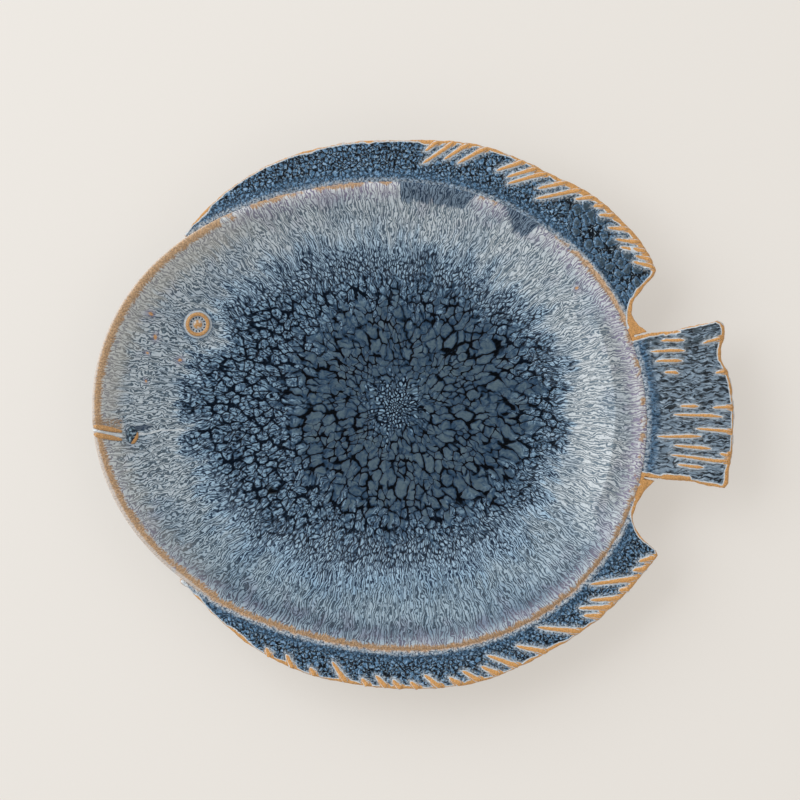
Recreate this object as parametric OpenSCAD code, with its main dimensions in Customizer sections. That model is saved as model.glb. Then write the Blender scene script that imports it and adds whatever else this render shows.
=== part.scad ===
// Flatfish serving platter in stoneware.
// An egg-shaped dish stands on a foot ring. Fin slabs with raised rays are luted
// round its rim, an eye and a mouth sit on the head, and glass pools in the well.
// Head towards -X, tail towards +X, back fin towards +Y. Millimetres.

/* [Dish] */
// Length of the dish, from the snout to the root of the tail
dish_len = 284.5; // [250:0.5:320]
// Width of the dish across the back and the belly
dish_wid = 239; // [205:1:270]
// Depth of the well below the rim
dish_depth = 20; // [14:0.5:28]
// Thickness of the dish wall
wall = 6.5; // [5:0.25:9]
// Width of the rounded rim
rim_w = 5; // [3.5:0.25:8]
// Rise of the rim's crown above its two edges
rim_crown = 0.8; // [0.4:0.1:1.6]
// Height of the outer band of the rim that carries the fins
rim_band = 10; // [9.5:0.25:12]
// How much fuller the dish is at the tail than at the head
egg = 0.085; // [0:0.005:0.12]

/* [Foot] */
// Gap between the table and the lowest point of the dish
foot_clear = 4; // [2.5:0.25:8]
// Length of the foot ring over its outside
foot_len = 156; // [130:1:190]
// Width of the foot ring where it meets the dish
foot_w = 7; // [5:0.25:10]
// Bevel on each side of the foot ring's tread
foot_bevel = 1; // [0.5:0.25:2]

/* [Fins] */
// Widest part of the back fin
dorsal_wid = 29.2; // [22:0.1:36]
// Widest part of the belly fin
ventral_wid = 22.9; // [18:0.1:30]
// Drop from the crown of the rim to the root of a fin
fin_drop = 1.5; // [1.25:0.25:3.5]
// Upward tilt of the fins and the tail
fin_tilt = 4; // [0:0.5:12]
// Thickness of a fin at its root
fin_root = 6; // [5:0.25:6.5]
// Thickness of a fin at its edge
fin_edge = 4; // [3:0.25:5]
// Length of the tail beyond the dish
tail_len = 44.5; // [36:0.5:56]
// Width of the tail along its trailing edge
tail_wid = 86.5; // [78:0.5:96]

/* [Rays] */
// Width of a ray at its outer end
ray_w = 2.6; // [1.6:0.1:3]
// Height of a ray above the fin
ray_h = 1.1; // [0.6:0.1:1.6]

/* [Face] */
// Distance of the eye behind the snout
eye_back = 53.5; // [48:0.5:58]
// Distance of the eye above the middle line
eye_up = 46.7; // [40:0.5:52]
// Diameter of the eye ring
eye_d = 13; // [10:0.25:16]
// Width of the eye ring's bead
eye_bead = 2.4; // [1.5:0.1:3]
// Height of the eye ring's bead
eye_h = 1.6; // [1:0.1:2.5]
// Diameter of the pupil
pupil_d = 5.2; // [3:0.1:5.6]
// Height of the pupil
pupil_h = 1.3; // [0.8:0.1:2]
// Drop of the mouth below the middle line of the dish
mouth_drop = 9.2; // [5:0.1:14]
// Fall of the mouth's line along a lip
mouth_fall = 3; // [0:0.1:5]
// Outer end of the lips, in from the snout's edge
lip_inset = 1.5; // [1:0.1:4]
// Length of each lip
lip_len = 14; // [10:0.5:18]
// Width of each lip
lip_w = 3; // [2:0.1:3.6]
// Height of each lip
lip_h = 1.2; // [0.8:0.1:2]
// Gap between the lips
lip_gap = 1.2; // [0.8:0.1:2]
// Length of the pellet in the corner of the mouth
pellet_len = 8.6; // [6:0.2:11]
// Width of the pellet
pellet_w = 6.2; // [4.5:0.1:8]
// Height of the pellet
pellet_h = 2; // [1.2:0.1:3]
// Gap between the lips and the pellet
pellet_gap = 1.8; // [0.5:0.1:4]

/* [Glaze] */
// Length of the glass pool in the well
pool_len = 182; // [150:1:194]
// Depth of the glass at the middle of the pool
pool_deep = 1.6; // [0.8:0.1:2.5]
// Thickness of the pool's edge
pool_edge = 0.3; // [0.2:0.05:0.6]
// Clear way that the glass leaves round the eye
pool_gap = 5; // [4:0.25:7]

/* [Hidden] */
// Film of slip between two pieces of clay
slip = 0.1;
// Points round the dish
round_steps = 96;
// Steepness of the well: a higher power leaves a flatter floor
well_power = 4;
// Departures of the dish from a plain egg: a blunter head, squarer quarters and a lean
head_share = 0.497;
square_off = 0.015;
lean = -0.018;

// Edge of the back fin: polar angle about the dish, share of the fin's widest part
dorsal_edge = [
    [16.5, 0.30], [18.5, 0.21], [20.5, 0.175], [23, 0.30], [24.7, 0.58], [26.5, 0.93],
    [28, 0.97], [32, 1], [44, 0.98], [54, 0.86], [66, 0.86], [80, 0.75], [96, 0.71],
    [110, 0.6], [122, 0.39], [130, 0.2], [135, 0.05]];
// Edge of the belly fin, in the same form
ventral_edge = [
    [222, 0.05], [228, 0.18], [236, 0.41], [246, 0.66], [258, 0.83], [272, 0.865],
    [290, 0.89], [308, 0.81], [320, 0.87], [330, 0.94], [334.6, 1], [335.4, 0.64],
    [337, 0.285], [339.5, 0.095], [342, 0.10], [344.5, 0.15], [347.2, 0.34]];
// Trailing edge of the tail, from the lower corner to the upper: share of the width, distance
// short of the tail's end as a share of the tail's length
tail_end = [
    [0, 0.11], [0.03, 0.067], [0.11, 0.056], [0.25, 0.011], [0.44, 0], [0.53, 0.011],
    [0.64, 0.045], [0.74, 0.103], [0.79, 0.166], [0.86, 0.13], [0.93, 0.112],
    [0.975, 0.117], [1, 0.2]];
// Waist of the tail's lower and upper side: share of the length, offset from a straight side as
// a share of the length
tail_low = [[0, 0], [0.18, -0.009], [0.32, 0.045], [0.575, 0.058], [0.82, 0.022], [1, 0]];
tail_up = [[0, 0], [0.19, 0.016], [0.39, -0.031], [0.65, -0.047], [0.88, -0.016], [1, 0]];
// Share of the tail's trailing edge that lies above the middle line
tail_rise = 0.56;

// Rays of the back fin: polar angle of the outer end, inner end as a share of the fin's width
dorsal_rays = [
    [75.5, 0.72], [72.5, 0.42], [69.5, 0.55], [66, 0.5], [58.5, 0.57], [55.5, 0.52],
    [53.5, 0.4], [49.5, 0.58], [46.5, 0.37], [44, 0.73], [41.5, 0.82], [39, 0.76],
    [35.5, 0.7], [32.5, 0.66], [30.5, 0.63], [28.8, 0.75], [27.2, 0.66]];
// Rays of the belly fin, in the same form
ventral_rays = [
    [248, 0.75], [253.5, 0.66], [258.5, 0.78], [265.5, 0.48], [270, 0.78], [274, 0.66],
    [277, 0.74], [280.5, 0.77], [285, 0.6], [289, 0.72], [293, 0.6], [297, 0.6],
    [301, 0.37], [307, 0.4], [314.5, 0.2], [319.5, 0.64], [321.8, 0.4], [324.2, 0.44],
    [326.4, 0.78], [329, 0.14], [331.4, 0.72], [333.6, 0.7]];
// Rays of the tail: share of the width, start and end as shares of the length
tail_rays = [
    [0.94, 0.28, 0.53], [0.87, 0.14, 0.53], [0.8, 0.18, 0.5], [0.72, 0.25, 0.4],
    [0.49, 0.37, 0.56], [0.485, 0.74, 0.96], [0.43, 0.28, 0.84], [0.34, 0.54, 0.96],
    [0.29, 0.1, 0.6], [0.22, 0.3, 0.72], [0.16, 0.27, 0.96], [0.09, 0.38, 0.67],
    [0.9, 0.74, 0.95], [0.7, 0.84, 0.95], [0.2, 0.84, 0.95]];
// Turn of a ray about the dish, in degrees for each fin width that it crosses
dorsal_sweep = 10;
ventral_sweep = -8;
// Outer end of a fin ray, as a share of the fin's width
ray_reach = 0.95;
// Share of the outer end's width and height that is left at a ray's inner tip, on the fins and tail
ray_taper = 0.35;
tail_ray_taper = 0.6;

// Angles at which the fins meet the sides of the tail, and at which they run out at the head
tail_top_angle = dorsal_edge[0][0];
tail_low_angle = ventral_edge[len(ventral_edge) - 1][0] - 360;
dorsal_front_angle = dorsal_edge[len(dorsal_edge) - 1][0];
ventral_front_angle = ventral_edge[0][0];
// Angles between which the edge of a fin turns sharply
dorsal_turn = [16.7, 29];
ventral_turn = [333.5, 346.9];
// Angle from one section of a fin to the next, along the fin and where it turns sharply
fin_step = 2.5;
turn_step = 0.7;

floor_z = foot_clear + wall;
rim_z = floor_z + dish_depth + rim_crown;
root_z = rim_z - fin_drop;

// Smooth curve through points in rising order, which never overshoots them
function rate(p, i) = (p[i + 1][1] - p[i][1]) / (p[i + 1][0] - p[i][0]);
function tangent(p, i) =
    i == 0 ? rate(p, 0) :
    i == len(p) - 1 ? rate(p, i - 1) :
    rate(p, i - 1) * rate(p, i) <= 0 ? 0 :
    2 * rate(p, i - 1) * rate(p, i) / (rate(p, i - 1) + rate(p, i));
function span(p, x, i = 0) = i >= len(p) - 2 || x <= p[i + 1][0] ? i : span(p, x, i + 1);
function smooth(p, x) =
    let (
        i = span(p, x),
        h = p[i + 1][0] - p[i][0],
        t = (x - p[i][0]) / h,
        bend = (1 - t) * (1 - t) * t * h * tangent(p, i) - t * t * (1 - t) * h * tangent(p, i + 1))
    p[i][1] + (3 - 2 * t) * t * t * (p[i + 1][1] - p[i][1]) + bend;
function mix(a, b, t) = a + (b - a) * t;
function shares(n) = [for (i = [0 : n]) i / n];

// Plan of the dish, in polar form about its own middle
function outline(a) =
    let (
        half_len = dish_len * (cos(a) < 0 ? head_share : 1 - head_share),
        half_wid = dish_wid / 2,
        fuller = egg * cos(a) * pow(sin(a), 2),
        squarer = square_off * (1 - cos(a) / 2) * pow(sin(2 * a), 2))
    (1 + fuller + squarer + lean * sin(2 * a)) / norm([cos(a) / half_len, sin(a) / half_wid]);
function fin_width(edge, wid, a) = wid * smooth(edge, a);
function fin_reach(edge, wid, a) = outline(a) + fin_width(edge, wid, a);

// Middle of the dish, which puts the origin under the middle of the whole platter
back_top = max([for (a = [60 : 120]) fin_reach(dorsal_edge, dorsal_wid, a) * sin(a)]);
belly_low = min([for (a = [240 : 300]) fin_reach(ventral_edge, ventral_wid, a) * sin(a)]);
snout = max([for (a = [150 : 210]) -outline(a) * cos(a)]);
tail_tip = outline(0) + tail_len;
mid = [(snout - tail_tip) / 2, -(back_top + belly_low) / 2];

function polar(a, r) = mid + r * [cos(a), sin(a)];
function angle_of(p) = let (a = atan2(p[1] - mid[1], p[0] - mid[0])) a < 0 ? a + 360 : a;
function beyond(p) = norm(p - mid) - outline(angle_of(p));
function at_height(p, z) = [p[0], p[1], z];

// Height of the dish's upper face and of its underside at a point in plan
function well_share(p) = norm(p - mid) / (outline(angle_of(p)) - rim_w);
function dish_top(p) =
    let (inset = -beyond(p))
    inset >= rim_w ?
        floor_z + dish_depth * pow(well_share(p), well_power) :
        rim_z - rim_crown * pow(2 * inset / rim_w - 1, 2);
function well_slope(p) =
    well_power * dish_depth * pow(well_share(p), well_power - 1) / (outline(angle_of(p)) - rim_w);
function dish_under(p) = dish_top(p) - wall * sqrt(1 + pow(well_slope(p), 2));
function fin_top(p) = root_z + tan(fin_tilt) * beyond(p);

// Closed solid through a row of loops that have the same number of points
module loft(loops, ring = false) {
    n = len(loops);
    k = len(loops[0]);
    middle = function (loop) [for (axis = [0 : 2]) [for (p = loop) p[axis]] * [for (p = loop) 1 / k]];
    points = concat([for (loop = loops) each loop], [middle(loops[0]), middle(loops[n - 1])]);
    spans = ring ? n : n - 1;
    sides = [for (i = [0 : spans - 1], j = [0 : k - 1])
        let (
            a = i * k + j,
            b = i * k + (j + 1) % k,
            c = ((i + 1) % n) * k + (j + 1) % k,
            d = ((i + 1) % n) * k + j)
        each [[a, c, b], [a, d, c]]];
    ends = ring ? [] : [for (j = [0 : k - 1])
        each [
            [n * k, j, (j + 1) % k],
            [n * k + 1, (n - 1) * k + (j + 1) % k, (n - 1) * k + j]]];
    polyhedron(ring ? [for (i = [0 : n * k - 1]) points[i]] : points, concat(sides, ends));
}

// Loop round the dish at a share of its plan, less an inset
function dish_loop(share, inset, height) =
    [for (i = [0 : round_steps - 1])
        let (a = 360 * i / round_steps, p = polar(a, share * outline(a) - inset))
        at_height(p, height(p))];

module dish() {
    top = function (p) dish_top(p);
    under = function (p) dish_under(p);
    band_low = function (p) rim_z - rim_band;
    well = [0.12, 0.3, 0.45, 0.57, 0.67, 0.75, 0.82, 0.88, 0.93];
    rim = [1, 0.75, 0.5, 0.25, 0];
    foot_share = foot_len / dish_len;
    belly = [for (s = [0.2, 0.4, 0.6, 0.8]) mix(1, foot_share, s)];
    middle = [for (s = [0.55, 0.22]) s * foot_share];
    color("#8aa3b8")
        loft(concat(
            [for (s = well) dish_loop(s, s * rim_w, top)],
            [for (s = rim) dish_loop(1, s * rim_w, top)],
            [dish_loop(1, 0, band_low)],
            [for (s = belly) dish_loop(s, 0, under)],
            [dish_loop(foot_share, 0, under), dish_loop(foot_share, foot_w, under)],
            [for (s = middle) dish_loop(s, 0, under)]));
}

module foot_ring() {
    share = foot_len / dish_len;
    seat = function (p) dish_under(p) - slip;
    tread = function (p) 0;
    rows = [
        dish_loop(share, 0, seat), dish_loop(share, foot_w, seat),
        dish_loop(share, foot_w - foot_bevel, tread), dish_loop(share, foot_bevel, tread)];
    color("#c29a68")
        loft([for (i = [0 : round_steps - 1]) [for (row = rows) row[i]]], ring = true);
}

// Slab from the rim out to the fin's edge, between two polar angles
module fin(edge, wid, angles) {
    across = [0, 0.15, 0.35, 0.6, 0.84, 0.96];
    back = [0.96, 0.5, 0];
    color("#33557c")
        loft([for (a = angles)
            let (
                root = outline(a) + slip,
                w = fin_width(edge, wid, a) - slip,
                thick = function (s) mix(fin_root, fin_edge, s),
                top = function (s) at_height(polar(a, root + s * w), fin_top(polar(a, root + s * w))))
            concat(
                [for (s = across) top(s)],
                [top(1) - [0, 0, fin_edge / 2]],
                [for (s = back) top(s) - [0, 0, thick(s)]])]);
}

// Rising polar angles, closer together where the edge of the fin turns sharply
function fin_angles(first, last, turn) =
    concat(
        [for (i = shares(ceil((turn[0] - first) / fin_step))) mix(first, turn[0], i)],
        [for (a = [turn[0] + turn_step : turn_step : turn[1] - turn_step / 2]) a],
        [for (i = shares(ceil((last - turn[1]) / fin_step))) mix(turn[1], last, i)]);

// Angle that a film of slip takes up at the side of the tail
slip_angle = slip / outline(0) * 180 / PI;

module dorsal_fin()
    fin(
        dorsal_edge, dorsal_wid,
        fin_angles(tail_top_angle + slip_angle, dorsal_front_angle, dorsal_turn));
module ventral_fin()
    fin(
        ventral_edge, ventral_wid,
        fin_angles(ventral_front_angle, 360 + tail_low_angle - slip_angle, ventral_turn));

// Plan of the tail: u runs from the root to the trailing edge, v from the lower to the upper side
function tail_point(u, v) =
    let (
        a = mix(tail_low_angle, tail_top_angle, v),
        root = polar(a, outline(a) + slip),
        end = [
            mid[0] + tail_tip - tail_len * smooth(tail_end, v),
            mid[1] + tail_wid * (v - 1 + tail_rise)],
        waist = tail_len * mix(smooth(tail_low, u), smooth(tail_up, u), v))
    mix(root, end, u) + [0, waist];

module tail_fin() {
    rows = concat([0, 0.015, 0.03, 0.06], [for (v = [0.11 : 0.06 : 0.9]) v], [0.93, 0.96, 0.985, 1]);
    along = [0, 0.1, 0.19, 0.28, 0.4, 0.55, 0.7, 0.85, 0.97];
    back = [0.97, 0.7, 0.4, 0.19, 0];
    color("#3c5c80")
        loft([for (v = rows)
            let (top = function (u) at_height(tail_point(u, v), fin_top(tail_point(u, v))))
            concat(
                [for (u = along) top(u)],
                [top(1) - [0, 0, fin_edge / 2]],
                [for (u = back) top(u) - [0, 0, mix(fin_root, fin_edge, u)]])]);
}

// Tapered ridge draped on a bed along a straight line in plan
module ridge(from, to, width, high, taper, bed, from_tip = 0.12, to_tip = 0.3) {
    run = (to - from) / norm(to - from);
    side = [-run[1], run[0]];
    stations = [[0, from_tip], [0.12, 0.7], [0.35, 1], [0.65, 1], [0.9, 0.92], [1, to_tip]];
    profile = [[-0.5, 0], [-0.3, 0.75], [0, 1], [0.3, 0.75], [0.5, 0]];
    loft([for (s = stations)
        let (
            grow = mix(taper, 1, s[0]) * s[1],
            middle = mix(from, to, s[0]))
        [for (q = profile)
            let (p = middle - side * q[0] * width * grow)
            at_height(p, bed(p) + slip + q[1] * high * grow)]]);
}

module fin_rays(rays, edge, wid, sweep) {
    bed = function (p) fin_top(p);
    spot = function (a, share) polar(a, outline(a) + share * fin_width(edge, wid, a));
    color("#c8954f")
        for (ray = rays)
            ridge(
                spot(ray[0] + sweep * (ray_reach - ray[1]), ray[1]), spot(ray[0], ray_reach),
                ray_w, ray_h, ray_taper, bed);
}

module dorsal_fin_rays() fin_rays(dorsal_rays, dorsal_edge, dorsal_wid, dorsal_sweep);
module ventral_fin_rays() fin_rays(ventral_rays, ventral_edge, ventral_wid, ventral_sweep);
module tail_fin_rays() {
    bed = function (p) fin_top(p);
    color("#c8954f")
        for (ray = tail_rays)
            ridge(
                tail_point(ray[1], ray[0]), tail_point(ray[2], ray[0]),
                ray_w, ray_h, tail_ray_taper, bed);
}

// Place of the eye, slope of the well there, and how far the well curves up into the eye's disc
eye_at = mid + [eye_back - snout, eye_up];
eye_slope = [for (way = [[1, 0], [0, 1]]) (dish_top(eye_at + way) - dish_top(eye_at - way)) / 2];
eye_hollow = max([for (a = [0 : 10 : 350])
    let (way = eye_d / 2 * [cos(a), sin(a)])
    dish_top(eye_at + way) - dish_top(eye_at) - eye_slope * way]);
module on_eye()
    translate(at_height(eye_at, dish_top(eye_at) + eye_hollow + slip))
        rotate(a = atan(norm(eye_slope)), v = [eye_slope[1], -eye_slope[0], 0])
            children();

// Half-round section of a bead, standing on its flat
bead_steps = 8;
function bead(w, h) = [for (i = shares(bead_steps)) [-w / 2 * cos(180 * i), h * sin(180 * i)]];

module eye_ring()
    color("#c8954f")
        on_eye()
            rotate_extrude($fn = 64)
                polygon([for (p = bead(eye_bead, eye_h)) p + [(eye_d - eye_bead) / 2, 0]]);

module eye_pupil()
    color("#b9a48c")
        on_eye()
            rotate_extrude($fn = 48)
                polygon(concat([[0, 0]], [for (i = [bead_steps : -1 : bead_steps / 2])
                    let (p = bead(pupil_d, pupil_h)[i]) [max(p[0], 0), p[1]]]));

// Lips run in from the snout, one on each side of the mouth's middle line
mouth_y = mid[1] - mouth_drop;
mouth_x = mid[0] - snout + lip_inset;
lip_end = mouth_x + lip_len;
lip_pitch = (lip_w + lip_gap) / 2;
module lip(y) {
    bed = function (p) dish_top(p);
    color("#c8954f")
        ridge([lip_end, y - mouth_fall / 2], [mouth_x, y + mouth_fall / 2], lip_w, lip_h, 1, bed, 0.45, 0.4);
}

module upper_lip() lip(mouth_y + lip_pitch);
module lower_lip() lip(mouth_y - lip_pitch);

module mouth_pellet() {
    at = [lip_end + pellet_gap + pellet_w / 2, mouth_y - mouth_fall / 2];
    levels = [[1, 0], [0.96, 0.35], [0.8, 0.7], [0.5, 0.93], [0.18, 1]];
    pellet_steps = 20;
    color("#4d5d70")
        loft([for (l = levels)
            [for (i = [0 : pellet_steps - 1])
                let (
                    a = -360 * i / pellet_steps,
                    p = at + l[0] / 2 * [pellet_w * cos(a), pellet_len * sin(a)])
                at_height(p, dish_top(p) + slip + pellet_h * l[1])]]);
}

// Reach of the pool at a polar angle: its own outline, or the near side of the clear way round the eye
function pool_reach(a) =
    let (
        own = pool_len / (dish_len - 2 * rim_w) * (outline(a) - rim_w),
        along = (eye_at - mid) * [cos(a), sin(a)],
        aside = (eye_at - mid) * [-sin(a), cos(a)],
        clear = eye_d / 2 + pool_gap)
    along < 0 || abs(aside) >= clear ? own : min(own, along - sqrt(clear * clear - aside * aside));

module glaze_pool() {
    steps = [0.2, 0.45, 0.7, 0.88, 1];
    loop = function (s, height)
        [for (i = [0 : round_steps - 1])
            let (a = 360 * i / round_steps, p = polar(a, s * pool_reach(a)))
            at_height(p, dish_top(p) + slip + height(s))];
    deep = function (s) pool_edge + pool_deep * (1 - s * s);
    base = function (s) 0;
    color("#2f4d6c")
        loft(concat(
            [for (s = steps) loop(s, deep)],
            [for (i = [len(steps) - 1 : -1 : 0]) loop(steps[i], base)]));
}

dish();
foot_ring();
dorsal_fin();
dorsal_fin_rays();
ventral_fin();
ventral_fin_rays();
tail_fin();
tail_fin_rays();
eye_ring();
eye_pupil();
upper_lip();
lower_lip();
mouth_pellet();
glaze_pool();
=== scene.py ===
"""Looks of a fish shaped stoneware platter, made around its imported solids.

Meshes are in metres. The glaze's patterns are worked out in millimetres, on Object coordinates.
"""

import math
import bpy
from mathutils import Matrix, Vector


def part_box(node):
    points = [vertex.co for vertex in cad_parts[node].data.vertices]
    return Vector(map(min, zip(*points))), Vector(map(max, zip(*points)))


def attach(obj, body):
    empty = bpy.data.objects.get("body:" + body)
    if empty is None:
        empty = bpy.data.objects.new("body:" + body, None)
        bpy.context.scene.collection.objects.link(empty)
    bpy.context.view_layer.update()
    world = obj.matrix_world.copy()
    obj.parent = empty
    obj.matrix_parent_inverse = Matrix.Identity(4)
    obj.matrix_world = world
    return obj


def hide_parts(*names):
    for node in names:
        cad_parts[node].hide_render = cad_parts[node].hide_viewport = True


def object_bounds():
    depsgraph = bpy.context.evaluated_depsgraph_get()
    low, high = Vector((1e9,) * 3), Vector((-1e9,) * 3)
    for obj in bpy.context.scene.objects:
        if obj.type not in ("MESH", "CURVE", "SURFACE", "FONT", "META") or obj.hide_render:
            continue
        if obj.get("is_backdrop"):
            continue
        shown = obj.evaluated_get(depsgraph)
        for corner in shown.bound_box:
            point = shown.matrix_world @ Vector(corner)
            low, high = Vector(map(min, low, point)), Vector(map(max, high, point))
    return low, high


bl_info = {
    "name": "Fish Platter",
    "version": (1, 0, 0),
    "blender": (4, 5, 0),
    "location": "View3D > Sidebar > Platter",
    "description": "Fired clay and reactive glaze for a fish shaped platter",
    "category": "Object",
}

import bmesh
import bpy
import numpy as np
from bpy.props import FloatProperty, FloatVectorProperty, IntProperty, PointerProperty
from mathutils import Vector, noise
from mathutils.bvhtree import BVHTree
from mathutils.geometry import convex_hull_2d
from mathutils.kdtree import KDTree

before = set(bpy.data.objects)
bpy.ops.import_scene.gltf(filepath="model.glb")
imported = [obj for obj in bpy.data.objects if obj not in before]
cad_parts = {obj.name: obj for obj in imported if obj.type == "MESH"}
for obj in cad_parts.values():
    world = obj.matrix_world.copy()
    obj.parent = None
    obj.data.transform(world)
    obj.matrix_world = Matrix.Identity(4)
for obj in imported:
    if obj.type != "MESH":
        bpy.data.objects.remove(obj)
CAD_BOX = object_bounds()
BODY = "root"
MM = 0.001

# Boxes of some solids, in metres, and their middles, in millimetres
DISH_LOW, DISH_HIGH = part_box("dish")
DISH_MIDDLE = (DISH_LOW + DISH_HIGH) / 2 / MM
EYE_LOW, EYE_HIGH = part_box("eye_ring")
EYE_MIDDLE = (EYE_LOW + EYE_HIGH) / 2 / MM
PELLET_LOW, PELLET_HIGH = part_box("mouth_pellet")
PELLET_MIDDLE = (PELLET_LOW + PELLET_HIGH) / 2 / MM
LIP_LOW, LIP_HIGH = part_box("upper_lip")

# The rim at some degrees round from the tail: width of its pale lip, how bare the clay is behind that and how far in,
# how white and how creamy the glaze is there, how much thick blue hangs over it, how much of the fin's blue ran onto
# it, and how far its tan runs onto the fin (widths in millimetres)
RIM_KEYS = ("lip", "bare", "band", "white", "cream", "smudge", "over", "spill")
RIM = (
    (0, 0, 0.37, 3.6, 1, 0, 0, 0.25, 0.5),
    (16, 0, 0.45, 3, 1, 0, 0, 0.2, 0.5),
    (22, 0.3, 0.7, 1.4, 0.95, 0, 0, 0, 1.6),
    (34, 0.3, 0.65, 1.4, 0.95, 0, 0, 0, 1.6),
    (41, 0.2, 0.45, 1.6, 0.95, 0, 0, 0.1, 1),
    (44, 0, 0.4, 2, 0.9, 0, 0, 0.3, 0.5),
    (47.5, 0, 0.1, 2, 0.6, 0, 0, 0.5, 0.3),
    (49, 0, 0, 2, 0.2, 0, 1, 0.7, 0.3),
    (51.3, 0, 0, 2, 0.2, 0, 1, 0.7, 0.3),
    (57.8, 0, 0.2, 2, 0.5, 0, 0.5, 0.5, 0.3),
    (59, 0, 0.5, 2.2, 0.9, 0, 0, 0.2, 0.4),
    (62.5, 0, 0.5, 2.2, 0.9, 0, 0, 0.2, 0.4),
    (64.3, 0, 0.2, 2, 0.4, 0, 0.5, 0.4, 0.3),
    (66, 0, 0, 2, 0, 0, 1.05, 0.6, 0.3),
    (81.6, 0, 0, 2, 0, 0, 1.05, 0.6, 0.3),
    (82.6, 0, 0.1, 2.2, 0.4, 0, 0.5, 0.5, 0.3),
    (83.6, 0, 0.35, 2.4, 0.9, 0, 0, 0.3, 0.4),
    (92, 0, 0.55, 2.4, 0.95, 0, 0, 0.5, 0.5),
    (102, 0, 0.55, 2.4, 0.95, 0, 0, 0.5, 0.5),
    (106, 0, 0.3, 2.4, 0.95, 0, 0, 0.5, 0.3),
    (110, 0, 0.6, 2.4, 0.9, 0, 0, 0.5, 0.5),
    (118, 0, 0.68, 2.8, 0.7, 0.2, 0, 0.4, 0.5),
    (123, 0.2, 0.35, 3.6, 0.5, 0.5, 0, 0.3, 0.3),
    (131, 0.8, 0.9, 4.8, 0.3, 1, 0, 0, 0.3),
    (160, 1.2, 0.95, 5.2, 0.3, 1, 0, 0, 0),
    (175, 1.6, 0.9, 5.2, 0.3, 1, 0, 0, 0),
    (195, 2.4, 0.62, 5.6, 0.65, 0.6, 0, 0, 0),
    (222, 2.2, 0.65, 5.2, 0.6, 0.3, 0, 0, 0.3),
    (232, 0.3, 0.9, 3, 0.2, 0, 0, 0, 0.8),
    (265, 0, 0.95, 3, 0.1, 0, 0, 0, 0.8),
    (280, 0, 1, 3, 0.45, 0, 0, 0, 0.8),
    (316, 0, 1, 2.8, 0.55, 0, 0, 0, 0.8),
    (336, 0.6, 0.8, 2.2, 0.6, 0, 0, 0, 0.6),
    (346, 0.2, 0.42, 3.6, 1, 0, 0, 0.25, 0.5),
    (360, 0, 0.37, 3.6, 1, 0, 0, 0.25, 0.5),
)

# Where the glass drained to, and the middles and half sizes of the pool and of its core, in plan and in millimetres
DRAIN = (-9.2, 4.9)
POOL_MIDDLE, POOL_HALF = (-18.4, 4.9), (95.5, 82)
CORE_MIDDLE, CORE_HALF = (-2.098, 2.303), (69.93, 65.79)

# Round places in plan, with their radius, in millimetres: pinholes in the glaze, a dark blister, and the bare corners
# and tips of the fins beside the tail
PINHOLES = (
    (-134.4, 51.9, 1.3), (-131.8, 39.1, 1.5), (-135.4, 31.9, 1.1), (-121, 27.8, 1.4), (-137.4, 18.1, 1),
    (83.8, 65.6, 1.4),
)
BLISTER = (-73, -40.1, 2)
BARE_CORNERS = (116, 44, 12), (116, -40, 14)
BARE_TIPS = (114, 43.5, 6), (119, -37, 6)

# Glaze on the fins, in metres: how far it is worked against the dish, and how high its fillet, heaps and swells are
ROOT_PUSH, FILLET, HEAP, SWELL = 0.002, 0.0007, 0.0009, 0.00025

# How far the foot of a ray and the border of the pooled glass are sunk, in metres
RAY_SINK, POOL_SINK = 0.0007, 0.0002

# Places on the stage, in metres: half the floor's side, the lamp, the camera in plan, and the rim's height
FLOOR_HALF = 3
LAMP_PLACE = (-1.24, 0.68, 1.2)
CAMERA_PLAN, RIM_TOP = (-0.00664, 0.00741), 0.03


def srgb(red, green, blue):
    """Scene colour of a colour that a screen shows, 0 to 255."""
    shown = [value / 255 for value in (red, green, blue)]
    return tuple(v / 12.92 if v <= 0.04045 else ((v + 0.055) / 1.055) ** 2.4 for v in shown)


def colour_property(name, description, *shown):
    """A colour that the user may change."""
    return FloatVectorProperty(
        name=name, description=description, subtype="COLOR", size=3, min=0, max=1, default=srgb(*shown)
    )


def length_property(name, description, default):
    """A length that the user may change, in metres."""
    return FloatProperty(name=name, description=description, unit="LENGTH", default=default, min=0, precision=5)


class PlatterForm(bpy.types.PropertyGroup):
    """Sizes of the dressed clay"""

    dish_levels: IntProperty(name="Dish smoothing", description="Subdivision of the turned pieces", default=2, max=3)
    fin_grain: length_property("Fin grain", "Voxel that the fin slabs are remade with", 0.0005)
    bead_grain: length_property("Bead grain", "Voxel that the small pieces are remade with", 0.0002)
    unevenness: length_property("Unevenness", "How far the fins' edges wave, as hand-built clay does", 0.0006)
    ray_width: length_property("Ray width", "Width of a fin ray at the fin's edge", 0.0036)
    ray_height: length_property("Ray height", "Height of a fin ray over its slab", 0.0009)
    ray_taper: FloatProperty(
        name="Ray taper", description="Share of a ray's width at its inner tip", subtype="FACTOR", default=0.5, max=1
    )
    dot_count: IntProperty(name="Eye dots", description="Number of glaze dots round the pupil", default=14)
    dot_circle: length_property("Dot circle", "Radius of the ring of dots", 0.0035)
    dot_size: length_property("Dot size", "Diameter of a dot", 0.0009)


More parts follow.
